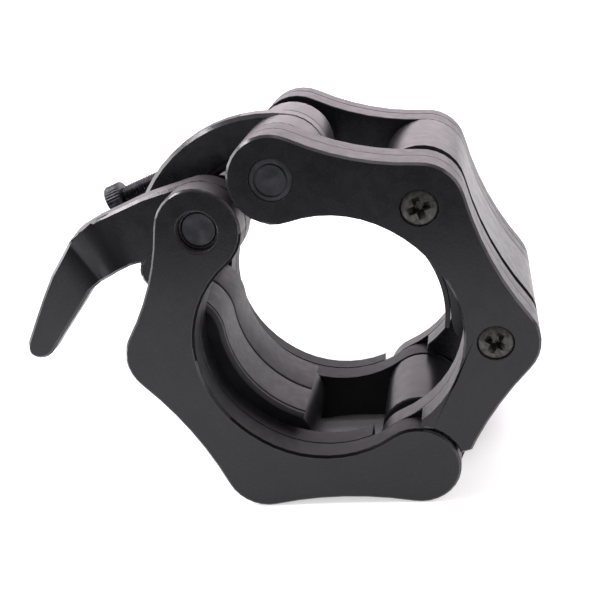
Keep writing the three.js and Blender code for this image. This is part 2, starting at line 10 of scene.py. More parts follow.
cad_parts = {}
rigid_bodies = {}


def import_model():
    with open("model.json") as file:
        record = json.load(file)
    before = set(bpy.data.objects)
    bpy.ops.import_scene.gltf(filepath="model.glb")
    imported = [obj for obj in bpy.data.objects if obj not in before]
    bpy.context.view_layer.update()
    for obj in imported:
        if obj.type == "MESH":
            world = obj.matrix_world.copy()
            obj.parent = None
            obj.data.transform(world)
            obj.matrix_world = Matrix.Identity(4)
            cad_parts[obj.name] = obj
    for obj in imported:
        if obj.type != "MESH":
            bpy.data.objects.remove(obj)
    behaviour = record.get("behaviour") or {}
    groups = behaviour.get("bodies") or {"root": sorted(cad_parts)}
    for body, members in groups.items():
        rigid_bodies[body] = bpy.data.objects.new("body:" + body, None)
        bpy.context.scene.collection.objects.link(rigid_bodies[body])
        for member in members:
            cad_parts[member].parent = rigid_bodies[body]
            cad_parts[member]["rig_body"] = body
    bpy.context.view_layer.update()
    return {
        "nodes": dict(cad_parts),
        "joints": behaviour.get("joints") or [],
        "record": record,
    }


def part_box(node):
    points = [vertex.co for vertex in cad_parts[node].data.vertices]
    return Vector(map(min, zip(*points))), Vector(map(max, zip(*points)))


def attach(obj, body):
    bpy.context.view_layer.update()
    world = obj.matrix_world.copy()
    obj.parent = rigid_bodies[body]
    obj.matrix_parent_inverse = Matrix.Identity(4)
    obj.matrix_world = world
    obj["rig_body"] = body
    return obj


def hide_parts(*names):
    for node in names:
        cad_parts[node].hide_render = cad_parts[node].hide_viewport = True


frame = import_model()
nodes = frame["nodes"]
mm = 0.001
print("frame loaded,", len(nodes), "nodes")


# Camera, at the photograph's angle
camera = {
    "place": (48.38, -222.78, 129.21),  # mm, in the part's frame
    "azimuth": 11.14,
    "elevation": 21.35,
    "roll": -7.46,
    "lens": 62.2,
    "sensor": 36,
    "nearest": 10,  # mm that it sees from
}


def makeCamera():
    turn, lift, roll = (math.radians(camera[k]) for k in ("azimuth", "elevation", "roll"))
    right = Vector((math.cos(turn), math.sin(turn), 0))
    ahead = Vector((-math.sin(turn) * math.cos(lift), math.cos(turn) * math.cos(lift), -math.sin(lift)))
    up = right.cross(ahead)
    across = right * math.cos(roll) + up * math.sin(roll)
    upward = up * math.cos(roll) - right * math.sin(roll)
    lens = bpy.data.cameras.new("camera")
    lens.lens = camera["lens"]
    lens.sensor_width = camera["sensor"]
    lens.clip_start = camera["nearest"] * mm
    view = bpy.data.objects.new("camera", lens)
    turned = Matrix((across, upward, -ahead)).transposed().to_4x4()
    view.matrix_world = Matrix.Translation(Vector(camera["place"]) * mm) @ turned
    bpy.context.scene.collection.objects.link(view)
    bpy.context.scene.camera = view


makeCamera()
print("camera placed")


# Colours are written as sRGB hex values and turned to linear here.
def linear(hexColour):
    shares = [int(hexColour[i:i + 2], 16) / 255 for i in (1, 3, 5)]
    return (*(s / 12.92 if s <= 0.04045 else ((s + 0.055) / 1.055) ** 2.4 for s in shares), 1)


# Adds a node, sets its settings, and fills or links its inputs.
def addNode(tree, kind, inputs=None, **settings):
    node = tree.nodes.new(kind)
    for name, value in settings.items():
        setattr(node, name, value)
    for name, value in (inputs or {}).items():
        if isinstance(value, bpy.types.NodeSocket):
            tree.links.new(value, node.inputs[name])
        else:
            node.inputs[name].default_value = value
    return node


def newMaterial(name):
    material = bpy.data.materials.new(name)
    material.use_nodes = True
    material.node_tree.nodes.clear()
    return material, material.node_tree


# A noise texture is given the reciprocal of its grain, so the grain is a real size in mm.
def perSize(size):
    return 1 / (size * mm)


# What all finishes share
textures = {
    "patchFade": (0.35, 0.65),  # noise levels between which the patches fade in
    "hazeFade": (0.3, 0.7),
    "fullShine": 0.5,  # the shader's own
}


# One finish: two close tones in soft patches, uneven sheen, and a fine relief. Sizes are in mm.
def makeFinish(name, look):
    material, tree = newMaterial(name)
    place = addNode(tree, "ShaderNodeTexCoord").outputs["Object"]
    patches = addNode(tree, "ShaderNodeTexNoise", {
        "Vector": place, "Scale": perSize(look["patch"]), "Detail": 3, "Roughness": 0.55})
    spread = addNode(tree, "ShaderNodeMapRange", {
        "Value": patches.outputs["Fac"],
        "From Min": textures["patchFade"][0], "From Max": textures["patchFade"][1]})
    tone = addNode(tree, "ShaderNodeMix", {"Factor": spread.outputs["Result"]}, data_type="RGBA")
    tone.inputs[6].default_value = linear(look["colour"])
    tone.inputs[7].default_value = linear(look["colourPatch"])
    haze = addNode(tree, "ShaderNodeTexNoise", {
        "Vector": place, "Scale": perSize(look["haze"]), "Detail": 5, "Roughness": 0.6})
    sheen = addNode(tree, "ShaderNodeMapRange", {
        "Value": haze.outputs["Fac"],
        "From Min": textures["hazeFade"][0], "From Max": textures["hazeFade"][1],
        "To Min": look["roughness"][0], "To Max": look["roughness"][1]})
    grain = addNode(tree, "ShaderNodeTexNoise", {
        "Vector": place, "Scale": perSize(look["grain"]), "Detail": 4, "Roughness": 0.6})
    relief = addNode(tree, "ShaderNodeBump", {
        "Height": grain.outputs["Fac"], "Distance": look["relief"] * mm, "Strength": 1})
    shader = addNode(tree, "ShaderNodeBsdfPrincipled", {
        "Base Color": tone.outputs[2], "Roughness": sheen.outputs["Result"],
        "Normal": relief.outputs["Normal"], "Metallic": look["metallic"]})
    if "ior" in look:
        shader.inputs["IOR"].default_value = look["ior"]
    # Painted shade: the specular level is lowered in a band round a middle line, so that band reflects
    # less light and looks darker.
    if "dulled" in look:
        dulled = look["dulled"]
        middle = Vector(dulled["middle"]).dot(dulled["way"]) * mm
        across = addNode(tree, "ShaderNodeVectorMath", {
            0: place, 1: dulled["way"]}, operation="DOT_PRODUCT")
        across = addNode(tree, "ShaderNodeMath", {
            0: across.outputs["Value"], 1: middle}, operation="SUBTRACT")
        across = addNode(tree, "ShaderNodeMath", {0: across.outputs["Value"]}, operation="ABSOLUTE")
        shine = addNode(tree, "ShaderNodeMapRange", {
            "Value": across.outputs["Value"],
            "From Min": dulled["near"] * mm, "From Max": dulled["far"] * mm,
            "To Min": dulled["shine"], "To Max": textures["fullShine"]}, interpolation_type="SMOOTHSTEP")
        tree.links.new(shine.outputs["Result"], shader.inputs["Specular IOR Level"])
    addNode(tree, "ShaderNodeOutputMaterial", {"Surface": shader.outputs["BSDF"]})
    return material


# Stamped steel under baked black enamel: near black, satin, with the faint orange peel of the coat.
enamelLook = {
    "colour": "#0e0f13", "colourPatch": "#141519", "patch": 9, "haze": 3.5, "grain": 0.55,
    "relief": 0.01, "roughness": (0.22, 0.32), "metallic": 0, "ior": 1.4}
blackEnamel = makeFinish("blackEnamelledSteel", enamelLook)

# The same on the lever, with painted shade in its bend: the shine is lowered there, which makes the bend
# darker.
leverShadedBendEnamel = makeFinish("leverShadedBendEnamel", {
    **enamelLook,
    "dulled": {
        "middle": (-36.5, 0, 60.7),  # of the bend
        "way": (0.931, 0, 0.366),  # across the bend's folds
        "near": 3.5,  # from the middle, where it begins to brighten
        "far": 11,  # from the middle, where it has its full shine
        "shine": 0.06,  # in the middle
    }})

# The same enamel rubbed thin along the edges, with painted highlight: a little lighter and smoother, so
# that rims catch light.
wornAndHighlitEnamel = makeFinish("wornAndHighlitEdge", {
    "colour": "#1c1c1f", "colourPatch": "#28282b", "patch": 2.5, "haze": 1.5, "grain": 0.5,
    "relief": 0.008, "roughness": (0.14, 0.24), "metallic": 0, "ior": 1.52})

# Painted shade round the left bore's front and on the edge of the link's bow: near black, with no shine.
shadeEnamel = makeFinish("paintedShadeEnamel", {
    "colour": "#0e0e0f", "colourPatch": "#131313", "patch": 5, "haze": 2.5, "grain": 0.6,
    "relief": 0.014, "roughness": (0.28, 0.36), "metallic": 0, "ior": 1.14})

# The enamel on the stamped edges of the plates and the lever, with painted light: a pale, dull grey that
# stands for light falling on the edges.
litEdgeEnamel = makeFinish("paintedLitEdgeEnamel", {
    "colour": "#343033", "colourPatch": "#3f3a3e", "patch": 4, "haze": 2, "grain": 0.5,
    "relief": 0.016, "roughness": (0.36, 0.48), "metallic": 0, "ior": 1.45})

# The edge of the link's eye, with painted light: a pale grey.
litEyeEnamel = makeFinish("paintedLitEyeEnamel", {
    "colour": "#5c565b", "colourPatch": "#696367", "patch": 3, "haze": 1.5, "grain": 0.5,
    "relief": 0.016, "roughness": (0.34, 0.46), "metallic": 0, "ior": 1.5})

# Painted shade on the left plates' bore edges and on the front face of the plate between the others:
# dark and matt.
boreShadeEnamel = makeFinish("dulledBoreEnamel", {
    "colour": "#17171a", "colourPatch": "#201f22", "patch": 4, "haze": 2, "grain": 0.5,
    "relief": 0.016, "roughness": (0.4, 0.5), "metallic": 0, "ior": 1.25})

# The cast blocks and the roller under a thin black coat: a smoother, slightly brighter sheen.
innerEnamel = makeFinish("blackCoatedCasting", {
    "colour": "#232326", "colourPatch": "#2b2a2e", "patch": 7, "haze": 3, "grain": 0.8,
    "relief": 0.014, "roughness": (0.28, 0.38), "metallic": 0, "ior": 1.38})

# The link's turned barrels, under a thinner coat that lets the steel show through: greyer.
barrelEnamel = makeFinish("blackCoatedBarrel", {
    "colour": "#363337", "colourPatch": "#403d41", "patch": 5, "haze": 2.5, "grain": 0.7,
    "relief": 0.014, "roughness": (0.3, 0.4), "metallic": 0, "ior": 1.48})

# Moulded black nylon: a soft sheen with fine mould grain.
mouldedNylon = makeFinish("mouldedNylon", {
    "colour": "#29282c", "colourPatch": "#333136", "patch": 5, "haze": 2, "grain": 0.5,
    "relief": 0.02, "roughness": (0.46, 0.58), "metallic": 0, "ior": 1.43})

# Steel with a black oxide finish: dark metal with a dull, slightly patchy shine.
oxideSteel = makeFinish("blackOxideSteel", {
    "colour": "#343538", "colourPatch": "#45464a", "patch": 2.5, "haze": 1.2, "grain": 0.4,
    "relief": 0.008, "roughness": (0.32, 0.48), "metallic": 0.85})

# Black oxide screws: blotchy from handling, and lighter where the driver and the threads have rubbed.
oxideScrew = makeFinish("blackOxideScrew", {
    "colour": "#323230", "colourPatch": "#50504c", "patch": 0.9, "haze": 0.8, "grain": 0.35,
    "relief": 0.025, "roughness": (0.32, 0.48), "metallic": 0.8})
rubbedScrew = makeFinish("rubbedScrewEdge", {
    "colour": "#333337", "colourPatch": "#4e4e52", "patch": 1, "haze": 0.6, "grain": 0.3,
    "relief": 0.01, "roughness": (0.28, 0.4), "metallic": 0.9})
print("materials made")


# Softened copies of the frame's nodes: welded, flat faces joined, edges rounded over
softening = {
    "weld": 0.0015,  # mm
    "flat": 0.6,  # degrees between faces that count as one
    "sharp": 42,  # degrees, the least bend that is an edge
    "frontDepth": 0.1,  # mm behind the foremost point that still count as the front
    # how squarely a face looks to the front or back, from 0 to 1
    "facing": 0.7,  # at least, for a front to be chamfered
    "upright": 0.8,  # less than this beside the outline of a front
    "tilted": 0.95,  # less than this on a chamfer
    "edge": 0.3,  # less than this on the edges of a plate, the lever or the link
}


def weldedCopy(nodeName, weld=softening["weld"]):
    mesh = bmesh.new()
    mesh.from_mesh(nodes[nodeName].data)
    bmesh.ops.remove_doubles(mesh, verts=mesh.verts, dist=weld * mm)
    bmesh.ops.dissolve_limit(
        mesh, angle_limit=math.radians(softening["flat"]), verts=mesh.verts, edges=mesh.edges)
    return mesh


# Marks the edges to be rounded. Inner corners are rounded only where a piece has fillets.
def markEdges(mesh, fillets):
    layers = mesh.edges.layers.float
    weight = layers.get("bevel_weight_edge") or layers.new("bevel_weight_edge")
    for edge in mesh.edges:
        if len(edge.link_faces) != 2:
            continue
        bend = math.degrees(edge.calc_face_angle_signed(0))
        if abs(bend) < softening["sharp"]:
            continue
        edge.smooth = False
        if bend > 0 or fillets:
            edge[weight] = 1
            edge.smooth = True
    for face in mesh.faces:
        face.smooth = True


def applyModifiers(piece):
    bpy.context.view_layer.update()
    graph = bpy.context.evaluated_depsgraph_get()
    finished = bpy.data.meshes.new_from_object(piece.evaluated_get(graph))
    piece.modifiers.clear()
    piece.data = finished


def newPiece(name, mesh, materials):
    data = bpy.data.meshes.new(name)
    mesh.to_mesh(data)
    mesh.free()
    for material in materials:
        data.materials.append(material)
    piece = bpy.data.objects.new(name, data)
    bpy.context.scene.collection.objects.link(piece)
    return piece


# Rounds the marked edges, and keeps the broad faces' shading flat up to the rounding.
def roundOver(piece, width, segments):
    bevel = piece.modifiers.new("roundOver", "BEVEL")
    bevel.width = width * mm
    bevel.segments = segments
    bevel.limit_method = "WEIGHT"
    bevel.use_clamp_overlap = True
    bevel.material = len(piece.data.materials) - 1
    flatten = piece.modifiers.new("flatten", "WEIGHTED_NORMAL")
    flatten.mode = "FACE_AREA"
    flatten.weight = 100
    flatten.keep_sharp = True
    applyModifiers(piece)


def standFor(piece, nodeName):
    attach(piece, nodes[nodeName]["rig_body"])
    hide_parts(nodeName)


def camel(nodeName):
    first, *rest = nodeName.split("_")
    return first + "".join(word.capitalize() for word in rest)


# Chamfers the outline of the faces that look to the front and lie ahead of a plane, and gives the
# chamfers the last material. Rims near the spared places are left as they are.
def chamferFront(mesh, width, plane, materials, spared=()):
    front = [
        face for face in mesh.faces
        if face.normal.y < -softening["facing"] and max(vert.co.y for vert in face.verts) < plane]
    rim = bmesh.ops.inset_region(
        mesh, faces=front, thickness=width * mm, use_even_offset=True, use_boundary=True)["faces"]
    outer = {
        vert for face in rim for vert in face.verts
        if any(abs(side.normal.y) < softening["upright"] for side in vert.link_faces)}
    for vert in outer:
        if not any(math.dist((vert.co.x, vert.co.z), (x, z)) < reach * mm for x, z, reach in spared):
            vert.co.y += width * mm
    mesh.normal_update()
    for face in rim:
        if face.normal.y > -softening["tilted"]:
            face.material_index = len(materials) - 1


# How far back the faces of a mesh still belong to its front
def frontPlane(mesh):
    return min(vert.co.y for vert in mesh.verts) + softening["frontDepth"] * mm


def finishSoft(mesh, nodeName, width, materials, segments=2, fillets=False):
    markEdges(mesh, fillets)
    piece = newPiece(camel(nodeName), mesh, materials)
    roundOver(piece, width, segments)
    standFor(piece, nodeName)
    return piece


def soften(nodeName, width, materials, segments=3):
    return finishSoft(weldedCopy(nodeName), nodeName, width, materials, segments)


# Skins a row of rings of points and closes both ends with a face.
def skin(rings):
    mesh = bmesh.new()
    rows = [[mesh.verts.new(point) for point in ring] for ring in rings]
    for near, far in zip(rows, rows[1:]):
        for i in range(len(near)):
            j = (i + 1) % len(near)
            mesh.faces.new((near[i], near[j], far[j], far[i]))
    mesh.faces.new(reversed(rows[0]))
    mesh.faces.new(rows[-1])
    bmesh.ops.recalc_face_normals(mesh, faces=mesh.faces)
    for face in mesh.faces:
        face.smooth = True
    return mesh


# Points in a circle round a line; shape gives the radius in mm at an angle.
def ringRound(centre, across, up, count, shape):
    points = []
    for i in range(count):
        angle = math.tau * i / count
        radius = shape(angle) * mm
        points.append(centre + (across * math.cos(angle) + up * math.sin(angle)) * radius)
    return points


# Takes a mesh away from a piece, or joins it to the piece.
def combine(piece, mesh, operation):
    other = newPiece("cutter", mesh, piece.data.materials)
    cut = piece.modifiers.new("cut", "BOOLEAN")
    cut.operation = operation
    cut.solver = "EXACT"
    cut.object = other
    applyModifiers(piece)
    bpy.data.objects.remove(other)


def shadeByAngle(mesh, sharp):
    for face in mesh.faces:
        face.smooth = True
    for edge in mesh.edges:
        if len(edge.link_faces) == 2 and edge.calc_face_angle(0) > math.radians(sharp):
            edge.smooth = False


# Rounds every edge of a finished mesh that bends more than an angle.
def roundEdges(piece, width, sharp, segments=2):
    bevel = piece.modifiers.new("roundEdges", "BEVEL")
    bevel.width = width * mm
    bevel.segments = segments
    bevel.limit_method = "ANGLE"
    bevel.angle_limit = math.radians(sharp)
    bevel.harden_normals = True
    bevel.material = len(piece.data.materials) - 1
    applyModifiers(piece)


def middle(nodeName):
    low, high = (Vector(corner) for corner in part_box(nodeName))
    return (low + high) / 2


openings = frame["record"]["physics"]["openings"]
near, far = next(opening["box_m"] for opening in openings if opening["name"] == "sleeve_bore")
boreAxis = Vector(((near[0] + far[0]) / 2, 0, (near[2] + far[2]) / 2))

# Where pins and screws end in the fronts, with the reach in mm of their holes
fittings = {"lever_pin": 6.9, "link_pin": 6.9, "right_upper_screw": 5, "right_lower_screw": 5}
holes = []
for nodeName, reach in fittings.items():
    place = middle(nodeName)
    holes.append((place.x, place.z, reach))

# Jaw plates: stamped, with a chamfer round the front of the outer ones and small roundings
plates = {
    "chamfer": {"front_outer": 0.5, "front_inner": 0, "rear_inner": 0, "rear_outer": 0},
    "rounding": 0.24,
    "sides": ("left", "right"),
    "weld": 0.1,
    "dulled": "left",  # the side whose bore gets painted shade
    "boreReach": 29,  # mm from the bore's axis, within which an edge belongs to the bore
    "boreFacing": 0.4,  # how squarely a face looks to the bore's axis to belong to it
    "hidden": "left_rear_inner_plate",  # whose front face lies between the others
    "hiddenFacing": 0.9,
}


def makePlate(side, layer, width):
    nodeName = f"{side}_{layer}_plate"
    finishes = [blackEnamel, litEdgeEnamel, boreShadeEnamel, shadeEnamel, wornAndHighlitEnamel]
    mesh = weldedCopy(nodeName, plates["weld"])
    spared = list(holes)
    if side != plates["dulled"]:
        spared.append((boreAxis.x, boreAxis.z, plates["boreReach"]))
    if width:
        chamferFront(mesh, width, frontPlane(mesh), finishes, spared)
    piece = finishSoft(mesh, nodeName, plates["rounding"], finishes)
    # Painted light and shade: the plain edges get pale enamel, the left bore's edges and rim get dark
    # enamel, and the hidden plate's front gets dark enamel.
    for face in piece.data.polygons:
        away = Vector((face.center.x - boreAxis.x, 0, face.center.z - boreAxis.z))
        inBore = face.normal.dot(away) < -plates["boreFacing"] * away.length
        inBore = inBore and side == plates["dulled"] and away.length < plates["boreReach"] * mm
        if abs(face.normal.y) < softening["edge"]:
            face.material_index = finishes.index(boreShadeEnamel if inBore else litEdgeEnamel)
        elif inBore:
            face.material_index = finishes.index(shadeEnamel)
        elif nodeName == plates["hidden"] and face.normal.y < -plates["hiddenFacing"]:
            face.material_index = finishes.index(boreShadeEnamel)


for side in plates["sides"]:
    for layer, width in plates["chamfer"].items():
        makePlate(side, layer, width)
print("plates made")

# Spacer blocks, roller and barrels between the plates, with their roundings in mm
insides = {
    "left_spacer_block": (0.6, innerEnamel),
    "right_spacer_block": (0.6, innerEnamel),
    "hinge_roller": (0.5, innerEnamel),
    "link_barrel_front": (0.12, barrelEnamel),
    "link_barrel_rear": (0.5, barrelEnamel),
}
for nodeName, (rounding, finish) in insides.items():
    soften(nodeName, rounding, [finish])
print("blocks and rollers made")


# Grip pads: mouldings with rounded rims, and a groove behind the front rim of the front one
pads = {
    "bore": 25,  # mm, radius of the gripping face
    "thickness": 1.1,
    "rim": 0.5,  # mm, rounding of the rims
    "rimSteps": 3,
    "lip": 1.1,  # mm from the front edge to the groove
    "grooveWidth": 0.75,
    "grooveDepth": 0.5,
    "grooveSteps": 6,
    "step": 1.5,  # degrees between the sections
    "closest": 0.01,  # mm between sections that are kept apart
    "sharp": 50,  # degrees, the least bend that shades as an edge
    # where the pads end, in degrees anticlockwise from the right
    "wrapEnd": 56,  # round the left lobe
    "leftEnd": 249,
    "right": (-10, 58),
}


# A pad's section, as places from its front edge and heights over its seat, in mm
def padSection(length, grooved):
    thick, rim = pads["thickness"], pads["rim"]
    turns = [math.pi / 2 * i / pads["rimSteps"] for i in range(pads["rimSteps"] + 1)]
    curve = [(rim * (1 - math.cos(turn)), thick - rim + rim * math.sin(turn)) for turn in turns]
    rows = [(0, 0)] + curve
    if grooved:
        for i in range(pads["grooveSteps"] + 1):
            share = i / pads["grooveSteps"]
            rows.append((
                pads["lip"] + pads["grooveWidth"] * share,
                thick - pads["grooveDepth"] * math.sin(math.pi * share)))
    rows += [(length - along, height) for along, height in reversed(curve)]
    rows.append((length, 0))
    return rows


# Places on the pad's seat with the way its face looks, along one or two arcs
def padRoute(parts):
    route = []
    for centre, radius, start, end, looks in parts:
        count = max(2, round(abs(end - start) / pads["step"] * radius / pads["bore"]))
        for i in range(count + 1):
            angle = math.radians(start + (end - start) * i / count)
            way = Vector((math.cos(angle), 0, math.sin(angle)))
            place = centre + way * radius * mm
            if not route or (place - route[-1][0]).length > pads["closest"] * mm:
                route.append((place, way * looks))
    return route


def makePad(nodeName, parts, grooved):
    low, high = (Vector(corner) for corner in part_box(nodeName))
    section = padSection((high.y - low.y) / mm, grooved)
    route = padRoute(parts)
    rings = []
    for place, way in route:
        rings.append([
            Vector((place.x, low.y + along * mm, place.z)) + way * height * mm
            for along, height in section])
    mesh = skin(rings)
    shadeByAngle(mesh, pads["sharp"])
    piece = newPiece(camel(nodeName), mesh, [mouldedNylon])
    standFor(piece, nodeName)


# The left pads follow the bore and then wrap round the upper left lobe.
lobe = middle("left_upper_screw")
lobe.y = 0
outwards = lobe - boreAxis
lobeAngle = math.degrees(math.atan2(outwards.z, outwards.x)) % 360
seat = pads["bore"] + pads["thickness"]
wrapRadius = outwards.length / mm - seat
leftParts = [
    (boreAxis, seat, pads["leftEnd"], lobeAngle, -1),
    (lobe, wrapRadius, lobeAngle - 180, pads["wrapEnd"], 1),
]
rightParts = [(boreAxis, seat, *pads["right"], -1)]
makePad("left_front_pad", leftParts, True)
makePad("left_rear_pad", leftParts, False)
makePad("right_grip_pad", rightParts, False)
print("pads made")

# Lever: a crank with a chamfered front and a softly rounded bend. Places and sizes are in mm.
lever = {
    "chamfer": 0.6,
    "rounding": 0.3,
    "weld": 0.3,  # the shortest edge that is kept
    # the fold at the handle and the fold at the arm: their lower and upper ends, as x and z
    "folds": (((-37.16, 53.58), (-42.87, 63.27)), ((-31.59, 56.75), (-34.57, 69.03))),
    "behindFold": 4,  # behind a fold by more than this isn't in the bend
    "front": -14.9,  # the plane that the whole front of the arm and handle lies ahead of
    "crank": 3.5,  # that the handle lies behind the arm
    "handle": (-15.2, -10.2),  # y of the handle's front and back
    "cut": 0.0625,  # share of the bend between two cuts
    "cutTolerance": 0.0001,
    "soft": (0.0625, 0.4375),  # share of the bend that each fold is rounded over
    "finishes": [leverShadedBendEnamel, litEdgeEnamel, wornAndHighlitEnamel],
}


# How far a place is along the bend: 0 at the handle's fold, 1 at the arm's fold
def alongBend(place):
    away = []
    for (low, high), sign in zip(lever["folds"], (1, -1)):
        line = Vector((high[0] - low[0], high[1] - low[1])).normalized()
        gap = Vector((place.x / mm - low[0], place.z / mm - low[1]))
        away.append(sign * (line.y * gap.x - line.x * gap.y))
    if away[0] < -lever["behindFold"]:
        return -1
    if away[1] < -lever["behindFold"]:
        return 2
    return away[0] / (away[0] + away[1])


# A ramp from 0 to 1 with both corners rounded
def softRamp(share):
    first, last = lever["soft"]
    if share < first:
        return max(0, share + first) ** 2 / (4 * first)
    if share > 1 - last:
        return 1 - max(0, 1 + last - share) ** 2 / (4 * last)
    return share


# Cuts the mesh into strips that fan out over the bend; the folds have their own edges already.
def cutBend(mesh):
    first, last = lever["soft"]
    lows, highs = zip(*lever["folds"])
    for i in range(round(-first / lever["cut"]), round((1 + last) / lever["cut"]) + 1):
        share = i * lever["cut"]
        if share in (0, 1):
            continue
        low = Vector(lows[0]).lerp(Vector(lows[1]), share) * mm
        high = Vector(highs[0]).lerp(Vector(highs[1]), share) * mm
        bmesh.ops.bisect_plane(
            mesh, geom=mesh.verts[:] + mesh.edges[:] + mesh.faces[:], dist=lever["cutTolerance"] * mm,
            plane_co=(low.x, 0, low.y), plane_no=(high.y - low.y, 0, low.x - high.x))
    bmesh.ops.remove_doubles(mesh, verts=mesh.verts, dist=lever["weld"] * mm)


def makeLever():
    mesh = weldedCopy("lever", lever["weld"])
    cutBend(mesh)
    first, last = lever["soft"]
    halfway = (sum(lever["handle"]) - lever["crank"]) / 2
    for vert in mesh.verts:
        share = alongBend(vert.co)
        if -first < share < 1 + last:
            start = lever["handle"][0 if vert.co.y < halfway * mm else 1]
            vert.co.y = (start - lever["crank"] * softRamp(share)) * mm
    mesh.normal_update()
    chamferFront(mesh, lever["chamfer"], lever["front"] * mm, lever["finishes"])
    piece = finishSoft(mesh, "lever", lever["rounding"], lever["finishes"], fillets=True)
    # Painted light: the lever's edges get the pale edge enamel.
    for face in piece.data.polygons:
        if abs(face.normal.y) < softening["edge"]:
            face.material_index = lever["finishes"].index(litEdgeEnamel)


makeLever()
print("lever made")

# Link: a bow from its eye on the link pin to the crank pin. Its front gets the lighter rim enamel as
# painted light.
link = {
    "chamfer": 0.8,  # mm
    "rounding": 0.3,
    "weld": 0.05,
    "bow": -3,  # mm, x at which the free bow ends and the eye begins
    "finishes": [wornAndHighlitEnamel, shadeEnamel, litEyeEnamel, wornAndHighlitEnamel],
}


def makeLink():
    mesh = weldedCopy("link", link["weld"])
    chamferFront(mesh, link["chamfer"], frontPlane(mesh), link["finishes"])
    piece = finishSoft(mesh, "link", link["rounding"], link["finishes"], fillets=True)
    # Painted shade on the bow's edge and painted light on the eye's edge.
    for face in piece.data.polygons:
        if abs(face.normal.y) < softening["edge"]:
            edge = shadeEnamel if face.center.x < link["bow"] * mm else litEyeEnamel
            face.material_index = link["finishes"].index(edge)


makeLink()
print("link made")

# Pins, spacers and washers, with their roundings in mm
pins = {
    "hinge_pin": 0.3,
    "hinge_washer": 0.25,
    "lever_pin": 0.35,
    "lever_pin_front_spacer": 0.25,
    "lever_pin_rear_spacer": 0.25,
    "crank_pin": 0.3,
    "link_pin": 0.12,
    "link_pin_spacer": 0.25,
    "left_upper_washer": 0.2,
    "left_lower_washer": 0.2,
    "right_lower_washer": 0.2,
    "right_upper_washer": 0.2,
}
for nodeName, rounding in pins.items():
    soften(nodeName, rounding, [oxideSteel], segments=2)
print("pins made")

# Countersunk M4 screws with a cross recess. Sizes are in mm.
jawScrews = {
    # degrees that the recess stands turned, as each screw was driven home
    "turns": {
        "right_upper_screw": 17, "right_lower_screw": -33, "left_upper_screw": 8, "left_lower_screw": 51,
    },
    "head": 3.85,  # radius
    "shank": 2,  # radius
    "lip": 0.4,
    "tip": 0.4,  # chamfer at the far end
    "sides": 64,
    # the domed head's profile: shares of its radius, and depths below its rim's plane
    "crown": ((0.3, -0.2), (0.5, -0.16), (0.7, -0.06), (0.85, 0.06), (0.95, 0.2), (1, 0.38)),
    "recess": {"span": 4.6, "wing": 1.5, "depth": 1.8, "endSpan": 1.8, "endWing": 0.8},
    "overshoot": 0.5,  # share of the recess's depth that its cutter stands out of the head
    "rounding": 0.07,
    "sharp": 35,  # degrees, the least bend that is rounded
}


# The outline of a cross, as places across and up
def crossOutline(span, wing):
    far, near = span / 2, wing / 2
    corner = [(far, -near), (far, near), (near, near)]
    outline = []
    for turn in range(4):
        cosine, sine = ((1, 0), (0, 1), (-1, 0), (0, -1))[turn]
        outline += [(a * cosine - b * sine, a * sine + b * cosine) for a, b in corner]
    return outline


def crossCutter(head, inward, turn):
    recess = jawScrews["recess"]
    across = Vector((math.cos(turn), 0, math.sin(turn)))
    up = Vector((-math.sin(turn), 0, math.cos(turn)))
    rings = []
    for share in (-jawScrews["overshoot"], 1):
        span = recess["span"] + (recess["endSpan"] - recess["span"]) * share
        wing = recess["wing"] + (recess["endWing"] - recess["wing"]) * share
        place = head + inward * recess["depth"] * share * mm
        rings.append([place + (across * a + up * b) * mm for a, b in crossOutline(span, wing)])
    return skin(rings)


def makeJawScrew(nodeName, turn):
    low, high = (Vector(corner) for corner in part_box(nodeName))
    facing = 1 if abs(low.y) > abs(high.y) else -1
    inward = Vector((0, facing, 0))
    head = middle(nodeName)
    head.y = low.y if facing > 0 else high.y
    length = (high.y - low.y) / mm
    radius, shank, lip, tip = (jawScrews[k] for k in ("head", "shank", "lip", "tip"))
    profile = [(radius * share, depth) for share, depth in jawScrews["crown"]]
    profile += [(radius, lip), (shank, lip + radius - shank)]
    profile += [(shank, length - tip), (shank - tip, length)]
    across, up = Vector((1, 0, 0)), Vector((0, 0, 1))
    rings = []
    for wide, depth in profile:
        place = head + inward * depth * mm
        rings.append(ringRound(place, across, up, jawScrews["sides"], lambda angle: wide))
    piece = newPiece(camel(nodeName), skin(rings), [oxideScrew, rubbedScrew])
    combine(piece, crossCutter(head, inward, math.radians(turn)), "DIFFERENCE")
    roundEdges(piece, jawScrews["rounding"], jawScrews["sharp"])
    standFor(piece, nodeName)


for nodeName, turn in jawScrews["turns"].items():
    makeJawScrew(nodeName, turn)
print("jaw screws made")

# Adjusting screw: an M4 socket head screw with a straight knurl. Sizes are in mm.
adjuster = {
    "head": 3.5,  # radius
    "headLength": 4,
    # the head's rounded ends: shares of its radius, and distances from its outer and its inner end
    "outerEnd": ((0.76, 0), (0.9, 0.04), (0.965, 0.2)),
    "innerEnd": ((0.955, 0.12), (0.88, 0)),
    "knurl": (0.45, 0.35),  # from the outer and from the inner end
    "ridges": 32,
    "ridgeDepth": 0.2,
    "pointsPerRidge": 5,
    "thread": 2,  # radius
    "pitch": 0.7,
    "threadDepth": 0.38,
    "threadSteps": 8,  # in a turn
    "threadSides": 36,
    "overlap": 1,  # that the shank reaches into the head
    "neck": 4.5,  # from the head's outer end, where the thread begins
    "tip": (0.3, 0.6),  # length and depth of the chamfer at the far end
    "socket": 1.75,  # radius to its corners
    "socketSides": 6,
    "socketDepth": 2.2,
    "overshoot": 0.5,  # that the socket's cutter stands out of the head
    "sharp": 38,  # degrees, the least bend that shades as an edge
}


